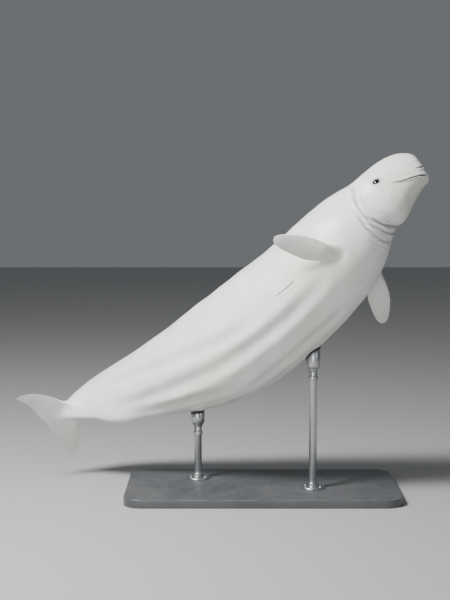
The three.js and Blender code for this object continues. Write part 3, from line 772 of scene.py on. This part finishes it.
def make_eyeball(name):
    """An eyeball with its cornea. iris and level say where a corner lies round the pupil."""
    eye = EYES[name]
    shape = bmesh.new()
    bmesh.ops.create_uvsphere(shape, u_segments=56, v_segments=36, radius=EYEBALL_RADIUS * METRE)
    iris, level = (shape.verts.layers.float.new(layer) for layer in ("iris", "level"))
    for corner in shape.verts:
        away = corner.co.angle(Vector((0, 0, 1)))
        corner[iris] = away / CORNEA_ANGLE
        corner[level] = corner.co.y / (EYEBALL_RADIUS * METRE)
        corner.co.length += CORNEA_BULGE * float(smooth(1.15 - away / CORNEA_ANGLE))
    middle = bend(eye.centre + eye.out * (EYEBALL_FRONT - EYEBALL_RADIUS)) * METRE
    out, across = (Vector(turned(axis, eye.station)) for axis in (eye.out, eye.across))
    side = across.cross(out).normalized()
    axes = Matrix((side, out.cross(side), out)).transposed().to_4x4()
    axes = axes @ Matrix.Diagonal((EYEBALL_SPREAD, EYEBALL_SPREAD, 1, 1))
    bmesh.ops.transform(shape, verts=shape.verts, matrix=Matrix.Translation(middle) @ axes)
    return shape


# Stand, in metres
BOARD_ROUND = 0.006
WEAR_WIDTH = 0.0016
FOOT_ROUND = 0.006
COLLAR_RADIUS = ROD_RADIUS + 0.009
COLLAR_WELD = 0.008
BOLTS = 6
BOLT_RADIUS = 0.009
BOLT_HEIGHT = 0.007
BOLT_ROUND = 0.0012
WASHER_THICKNESS = 0.0016
CLAMP_RADIUS = ROD_RADIUS + 0.007

# Cup: its steel's flare as (radius, height), then its upper edge and its soft rim as (radius,
# depth below the skin)
CUP_LIP = 0.022  # height of the soft rim
CUP_NECK = ROD_RADIUS + 0.006
CUP_STEEL = CUP_RADIUS - 0.004
CUP_FLARE = [(CUP_NECK, 0.012), (CUP_NECK + 0.001, 0.014), (CUP_STEEL - 0.004, 0.036), (CUP_STEEL, 0.042)]
CUP_EDGE = [(CUP_STEEL, CUP_LIP + 0.003), (CUP_STEEL - 0.001, CUP_LIP + 0.001),
            (CUP_STEEL - 0.006, CUP_LIP)]
CUP_RIM = [(CUP_STEEL - 0.005, CUP_LIP), (CUP_RADIUS - 0.001, CUP_LIP), (CUP_RADIUS, CUP_LIP - 0.002),
           (CUP_RADIUS, 0.003), (CUP_RADIUS - 0.002, 0.0005), (CUP_RADIUS * 0.6, 0.001), (0.004, 0.001)]


def round_edges(shape, edges, offset, segments):
    bmesh.ops.bevel(shape, geom=edges, offset=offset, offset_type="OFFSET", segments=segments,
                    profile=0.5, affect="EDGES", material=-1)


def make_board():
    """The base: a thick board with round corners and softened edges"""
    shape = bmesh.new()
    top = BASE_SIZE[2]
    lift = Matrix.Translation((0, 0, top / 2))
    bmesh.ops.create_cube(shape, size=1, matrix=lift @ Matrix.Diagonal((*BASE_SIZE, 1)))
    upright = [e for e in shape.edges if abs(e.verts[0].co.z - e.verts[1].co.z) > top / 2]
    round_edges(shape, upright, BASE_CORNER, 24)
    level = [e for e in shape.edges if abs(e.verts[0].co.z - e.verts[1].co.z) < top / 2]
    round_edges(shape, level, BOARD_ROUND, 4)
    wear = shape.verts.layers.float.new("wear")
    worn = top - 0.3 * BOARD_ROUND
    for corner in shape.verts:
        corner[wear] = float(bell((corner.co.z - worn) / WEAR_WIDTH))
    return shape


def turned_piece(outline, middle, steps=72):
    """Turns an outline of (radius, height) about an upright line through the middle"""
    shape = bmesh.new()
    corners = [shape.verts.new((radius, 0, height)) for radius, height in outline]
    edges = [shape.edges.new(pair) for pair in zip(corners, corners[1:])]
    bmesh.ops.spin(shape, geom=corners + edges, cent=(0, 0, 0), axis=(0, 0, 1), angle=tau,
                   steps=steps, use_merge=True)
    bmesh.ops.remove_doubles(shape, verts=shape.verts, dist=0.00001)
    bmesh.ops.recalc_face_normals(shape, faces=shape.faces)
    bmesh.ops.translate(shape, verts=shape.verts, vec=(middle.x, middle.y, 0))
    return shape


def rounded(outline, radius=0.002):
    """The outline with each inner corner cut to a small round"""
    soft = [outline[0]]
    for before, corner, after in zip(outline, outline[1:], outline[2:]):
        a, b, c = Vector(before), Vector(corner), Vector(after)
        reach = min(radius, (a - b).length / 2.5, (c - b).length / 2.5)
        start, end = b + (a - b).normalized() * reach, b + (c - b).normalized() * reach
        soft += [start, (start + end + 2 * b) / 4, end]
    return soft + [outline[-1]]


def make_foot(middle):
    """A round foot plate, its welded collar and a ring of hexagon bolts"""
    low = BASE_SIZE[2]
    high = low + FOOT_THICKNESS
    shape = turned_piece(rounded([
        (0, low), (FOOT_RADIUS, low), (FOOT_RADIUS, high - FOOT_ROUND), (FOOT_RADIUS - FOOT_ROUND, high),
        (COLLAR_RADIUS + COLLAR_WELD, high), (COLLAR_RADIUS, high + 0.006), (COLLAR_RADIUS, high + 0.03),
        (COLLAR_RADIUS - 0.004, high + 0.034), (0, high + 0.034)]), middle)
    for i in range(BOLTS):
        angle = tau * (i + 0.5) / BOLTS
        place = Vector((cos(angle), sin(angle), 0)) * (FOOT_RADIUS + COLLAR_RADIUS) / 2
        place += Vector((middle.x, middle.y, high + BOLT_HEIGHT / 2))
        turn = Matrix.Translation(place) @ Matrix.Rotation(angle * 3.7, 4, "Z")
        made = bmesh.ops.create_cone(shape, cap_ends=True, segments=6, radius1=BOLT_RADIUS,
                                     radius2=BOLT_RADIUS, depth=BOLT_HEIGHT, matrix=turn)["verts"]
        top = {e for corner in made for e in corner.link_edges
               if min(v.co.z for v in e.verts) > high + BOLT_HEIGHT * 0.9}
        round_edges(shape, list(top), BOLT_ROUND, 2)
        washer = Matrix.Translation(place - Vector((0, 0, BOLT_HEIGHT / 2 - 0.0006)))
        bmesh.ops.create_cone(shape, cap_ends=True, segments=28, radius1=BOLT_RADIUS * 1.5,
                              radius2=BOLT_RADIUS * 1.45, depth=WASHER_THICKNESS, matrix=washer)
    return shape


def make_rod(rod, middle):
    """The upright tube, with the clamp ring that the cup is screwed down on"""
    low = BASE_SIZE[2] + FOOT_THICKNESS
    high = rod["underside"] - CUP_DEPTH
    return turned_piece(rounded([
        (0, low), (ROD_RADIUS, low), (ROD_RADIUS, high - 0.075), (CLAMP_RADIUS, high - 0.073),
        (CLAMP_RADIUS, high - 0.041), (ROD_RADIUS, high - 0.039), (ROD_RADIUS, high), (0, high)],
        0.0015), middle)


def make_cup(rod, middle, body):
    """A flared steel cup with a soft rim that follows the underside of the body"""
    low = rod["underside"] - CUP_DEPTH
    shape = bmesh.new()
    start = Matrix.Translation((middle.x, middle.y, low))
    bmesh.ops.create_circle(shape, segments=96, radius=CUP_NECK, matrix=start)
    bmesh.ops.holes_fill(shape, edges=shape.edges[:], sides=0)

    def next_rings(ring, outline, by_skin):
        for radius, distance in outline:
            ring, corners = grow_ring(shape, ring)
            for corner in corners:
                way = Vector((corner.co.x - middle.x, corner.co.y - middle.y)).normalized() * radius
                place = Vector((middle.x + way.x, middle.y + way.y, low))
                above = body.ray_cast(place, Vector((0, 0, 1)))[0].z
                corner.co = (place.x, place.y, above - distance if by_skin else low + distance)
        return ring

    ring = next_rings(shape.edges[:], CUP_FLARE, False)
    ring = next_rings(ring, CUP_EDGE, True)
    steel_faces = set(shape.faces)
    ring = next_rings(ring, CUP_RIM, True)
    bmesh.ops.holes_fill(shape, edges=ring, sides=0)
    for face in set(shape.faces) - steel_faces:
        face.material_index = 1
    bmesh.ops.recalc_face_normals(shape, faces=shape.faces)
    return shape


class Finish:
    """A material under work. Its methods add nodes, set or link their inputs and give their output."""

    def __init__(self, name, **values):
        self.material = bpy.data.materials.new(name)
        self.material.use_nodes = True
        self.tree = self.material.node_tree
        self.shader = self.tree.nodes["Principled BSDF"]
        for socket, value in values.items():
            self.set(self.shader, socket.replace("_", " ").title().replace("Ior", "IOR"), value)
        self.coordinates = self.add("ShaderNodeTexCoord", {}, "Object")

    def add(self, kind, inputs, output=0, **settings):
        """Adds a node with its inputs and settings, and gives one of its outputs"""
        node = self.tree.nodes.new(kind)
        for key, value in settings.items():
            setattr(node, key, value)
        for socket, value in inputs.items():
            self.set(node, socket, value)
        return node.outputs[output]

    def set(self, node, socket, value):
        if isinstance(value, bpy.types.NodeSocket):
            self.tree.links.new(value, node.inputs[socket])
        elif isinstance(value, tuple) and len(value) == 3 and node.inputs[socket].type == "RGBA":
            node.inputs[socket].default_value = (*value, 1)
        else:
            node.inputs[socket].default_value = value

    def maths(self, operation, a, b=0.0):
        return self.add("ShaderNodeMath", {0: a, 1: b}, operation=operation)

    def times(self, a, b):
        return self.maths("MULTIPLY", a, b)

    def plus(self, a, b):
        return self.maths("ADD", a, b)

    def stretched(self, scale, rotation=(0, 0, 0)):
        """Object coordinates, turned and then scaled along each axis"""
        rotated = self.add("ShaderNodeMapping", dict(Vector=self.coordinates, Rotation=rotation))
        return self.add("ShaderNodeMapping", dict(Vector=rotated, Scale=scale))

    def noise(self, scale, detail=3.0, roughness=0.55, distortion=0.0, vector=None):
        return self.add("ShaderNodeTexNoise", dict(
            Vector=vector or self.coordinates, Scale=scale, Detail=detail, Roughness=roughness,
            Distortion=distortion))

    def spread(self, value, low, high, to_low=0.0, to_high=1.0):
        """Maps the range from low to high onto another, and stops at its ends"""
        inputs = dict(enumerate((value, low, high, to_low, to_high)))
        return self.add("ShaderNodeMapRange", inputs, interpolation_type="SMOOTHSTEP")

    def attribute(self, name):
        return self.add("ShaderNodeAttribute", {}, "Fac", attribute_name=name)

    def mix(self, share, a, b):
        return self.add("ShaderNodeMix", {0: share, 6: a, 7: b}, 2, data_type="RGBA")

    def bump(self, height, distance, strength=1.0, normal=None):
        inputs = dict(Height=height, Distance=distance, Strength=strength)
        if normal:
            inputs["Normal"] = normal
        return self.add("ShaderNodeBump", inputs)

    def done(self, colour, roughness, normal):
        """Gives the shader its colour, roughness and normal, and returns the material"""
        self.set(self.shader, "Base Color", colour)
        self.set(self.shader, "Roughness", roughness)
        self.set(self.shader, "Normal", normal)
        return self.material


def skin_finish():
    """White skin: cream and grey mottling, fine wrinkles, faint rake marks and painted shade in the
    creases
    """
    look = Finish("white_skin", coat_weight=0.12, coat_roughness=0.3, subsurface_weight=0.08,
                  subsurface_radius=(0.012, 0.008, 0.006))
    dark, edge, along = (look.attribute(name) for name in ("dark", "edge", "along"))
    broad = look.noise(1.7, 3, 0.5)
    blotch = look.noise(7, 5, 0.62, 0.4)
    grain = look.noise(90, 4, 0.6)
    raked = look.noise(1, 2, 0.5, 0.3, look.stretched((5, 110, 60), (0, radians(-35), radians(15))))
    raked = look.times(look.spread(raked, 0.62, 0.7), look.spread(look.noise(3.1), 0.5, 0.66))

    colour = look.mix(look.spread(broad, 0.35, 0.68), (0.87, 0.87, 0.845), (0.83, 0.8, 0.725))
    colour = look.mix(look.spread(blotch, 0.48, 0.78, 0, 0.55), colour, (0.66, 0.67, 0.655))
    colour = look.mix(look.spread(grain, 0.45, 0.8, 0, 0.35), colour, (0.68, 0.67, 0.62))
    colour = look.mix(look.times(raked, 0.4), colour, (0.6, 0.59, 0.57))
    edge = look.times(edge, look.spread(blotch, 0.2, 0.6, 0.04, 0.3))
    colour = look.mix(edge, colour, (0.5, 0.51, 0.52))
    # painted shade: the creases, the skin in and round the eyes and the flippers' roots darkened towards
    # near black
    colour = look.mix(look.maths("POWER", dark, 1.3), colour, (0.09, 0.08, 0.075))

    neck = look.times(look.spread(along, 0.44, 0.56), look.spread(along, 0.74, 0.98, 1, 0))
    waves = look.plus(look.times(along, 150), look.times(look.noise(4, 4), 16))
    wrinkles = look.times(look.maths("SINE", waves), look.spread(look.noise(5.5), 0.35, 0.65))
    normal = look.bump(look.times(wrinkles, neck), 0.0018, 0.8)
    normal = look.bump(blotch, 0.008, 0.45, normal)
    normal = look.bump(raked, -0.0006, 0.5, normal)
    normal = look.bump(look.noise(30, 4, 0.6), 0.0016, 0.4, normal)
    normal = look.bump(look.noise(240, 3, 0.6), 0.0008, 0.45, normal)
    return look.done(colour, look.spread(blotch, 0.3, 0.75, 0.4, 0.56), normal)


def eye_finish():
    """Wet, nearly black eye: a dark brown iris round a wide oval pupil"""
    look = Finish("wet_eye", coat_weight=1.0, coat_roughness=0.03, ior=1.38)
    iris, level = look.attribute("iris"), look.attribute("level")
    fibres = look.noise(420, 3, 0.7)
    colour = look.mix(look.spread(fibres, 0.35, 0.7), (0.01, 0.007, 0.006), (0.022, 0.014, 0.01))
    colour = look.mix(look.spread(iris, 0.8, 1.05), colour, (0.01, 0.008, 0.007))
    pupil = look.plus(iris, look.times(look.maths("ABSOLUTE", level), 0.5))
    colour = look.mix(look.spread(pupil, 0.6, 0.68, 1, 0), colour, (0.003, 0.003, 0.003))
    return look.done(colour, look.spread(fibres, 0.3, 0.7, 0.05, 0.12), look.bump(fibres, 0.0002, 0.1))


def board_finish():
    """Satin dark grey paint, faintly rolled on, rubbed lighter along the upper edge"""
    look = Finish("satin_grey_paint", coat_weight=0.1, coat_roughness=0.25)
    rolled = look.noise(130, 3, 0.6)
    cloudy = look.noise(2.2, 4, 0.55)
    rubbed = look.times(look.attribute("wear"), look.spread(look.noise(14, 4), 0.4, 0.62))
    colour = look.mix(look.spread(cloudy, 0.3, 0.7), (0.062, 0.066, 0.07), (0.085, 0.088, 0.092))
    colour = look.mix(look.spread(look.noise(600, 1), 0.66, 0.74, 0, 0.35), colour, (0.2, 0.2, 0.2))
    colour = look.mix(look.times(rubbed, 0.5), colour, (0.2, 0.2, 0.19))
    return look.done(colour, look.spread(cloudy, 0.3, 0.7, 0.36, 0.5), look.bump(rolled, 0.0006, 0.35))


def steel_finish():
    """Steel brushed round its length, with faint smudges"""
    look = Finish("brushed_steel", metallic=1.0)
    brushed = look.noise(1, 3, 0.7, 0, look.stretched((12, 12, 2600)))
    colour = look.mix(look.spread(brushed, 0.3, 0.7), (0.42, 0.43, 0.44), (0.62, 0.63, 0.64))
    smudge = look.spread(look.noise(11, 4, 0.6), 0.5, 0.75, 0, 0.12)
    roughness = look.plus(look.spread(brushed, 0.25, 0.75, 0.24, 0.36), smudge)
    return look.done(colour, roughness, look.bump(brushed, 0.0001, 0.5))


def rubber_finish():
    """Dark rubber with a dusty bloom"""
    look = Finish("dark_rubber", sheen_weight=0.15, sheen_roughness=0.5)
    bloom = look.noise(35, 5, 0.6)
    colour = look.mix(look.spread(bloom, 0.35, 0.75), (0.022, 0.022, 0.023), (0.05, 0.05, 0.051))
    grain = look.bump(look.noise(500, 2), 0.0003, 0.3)
    return look.done(colour, look.spread(bloom, 0.3, 0.7, 0.6, 0.78), grain)


# The camera sees the whale as the drawing does, from in front of its right side
CAMERA_DISTANCE = 12.0
CAMERA_RISE = radians(5)
CAMERA_LENS = 85
IMAGE_SIZE = (450, 600)
BALANCE_PIXEL = (262, 322)
SENSOR_WIDTH = 36


def place_camera():
    """Puts the camera where the balance station falls on its pixel"""
    data = bpy.data.cameras.new("camera")
    data.lens = CAMERA_LENS
    data.sensor_width = SENSOR_WIDTH
    camera = new_object("camera", data)
    pixels = CAMERA_LENS / SENSOR_WIDTH * max(IMAGE_SIZE)
    forward = Vector((0, cos(CAMERA_RISE), -sin(CAMERA_RISE)))
    up = Vector((0, sin(CAMERA_RISE), cos(CAMERA_RISE)))
    right = Vector((1, 0, 0))
    across = (BALANCE_PIXEL[0] - IMAGE_SIZE[0] / 2) / pixels * CAMERA_DISTANCE
    down = (BALANCE_PIXEL[1] - IMAGE_SIZE[1] / 2) / pixels * CAMERA_DISTANCE
    balance = Vector((0, 0, BALANCE_HEIGHT * METRE))
    camera.location = balance - forward * CAMERA_DISTANCE - right * across + up * down
    camera.rotation_mode = "QUATERNION"
    camera.rotation_quaternion = forward.to_track_quat("-Z", "Y")
    bpy.context.scene.camera = camera


# Surroundings
FLOOR_HALF_SIZE = 30
STUDIO_COLOUR = (0.36, 0.38, 0.4, 1)
STUDIO_STRENGTH = 0.42
# Lamps: name, place, target, width and height, and power
LAMPS = [
    ("key", (-5, -4, 8), (0, 0, 1.6), (2.5, 2.5), 1900),
    ("front", (-3, -9, 1.8), (-0.6, 0, 1.2), (4, 3), 210),
    ("side", (6, -7, 3), (0, 0, 1.5), (4, 4), 60),
]


def add_floor():
    """A wide grey floor, which isn't part of the model"""
    mesh = bpy.data.meshes.new("floor")
    shape = bmesh.new()
    bmesh.ops.create_grid(shape, x_segments=1, y_segments=1, size=FLOOR_HALF_SIZE)
    shape.to_mesh(mesh)
    shape.free()
    floor = new_object("floor", mesh)
    paint = Finish("floor_paint")
    speckle = paint.noise(900, 2)
    colour = paint.mix(speckle, (0.4, 0.4, 0.4), (0.42, 0.42, 0.42))
    mesh.materials.append(paint.done(colour, 0.8, paint.bump(speckle, 0.0002, 0.2)))


def add_lamp(name, place, target, size, power):
    data = bpy.data.lights.new(name, "AREA")
    data.shape = "RECTANGLE"
    data.size, data.size_y = size
    data.energy = power
    lamp = new_object(name, data)
    lamp.location = place
    lamp.rotation_mode = "QUATERNION"
    lamp.rotation_quaternion = (Vector(target) - Vector(place)).to_track_quat("-Z", "Y")


def light_studio():
    world = bpy.data.worlds.new("studio")
    world.use_nodes = True
    background = world.node_tree.nodes["Background"]
    background.inputs["Color"].default_value = STUDIO_COLOUR
    background.inputs["Strength"].default_value = STUDIO_STRENGTH
    bpy.context.scene.world = world
    for lamp in LAMPS:
        add_lamp(*lamp)


skin_shape = make_skin()
body = BVHTree.FromBMesh(skin_shape)
finish_piece("whale_skin", skin_shape, [skin_finish()], [
    "head", "neck", "chest", "belly", "tail_stock", "fluke_left", "fluke_right", "flipper_left",
    "flipper_right"])
wet_eye = eye_finish()
for side in EYES:
    finish_piece(side + "_eyeball", make_eyeball(side), [wet_eye], ["eye_" + side])

finish_piece("display_board", make_board(), [board_finish()], ["stand_base"])
steel, rubber = steel_finish(), rubber_finish()
for end, rod in RODS.items():
    middle = Vector(spine_place(rod["station"]) * METRE)
    cup = make_cup(rod, middle, body)
    finish_piece(end + "_foot", make_foot(middle), [steel], ["stand_foot_" + end], False)
    finish_piece(end + "_rod", make_rod(rod, middle), [steel], ["stand_rod_" + end])
    finish_piece(end + "_cup", cup, [steel, rubber], ["stand_cup_" + end])

place_camera()
add_floor()
light_studio()
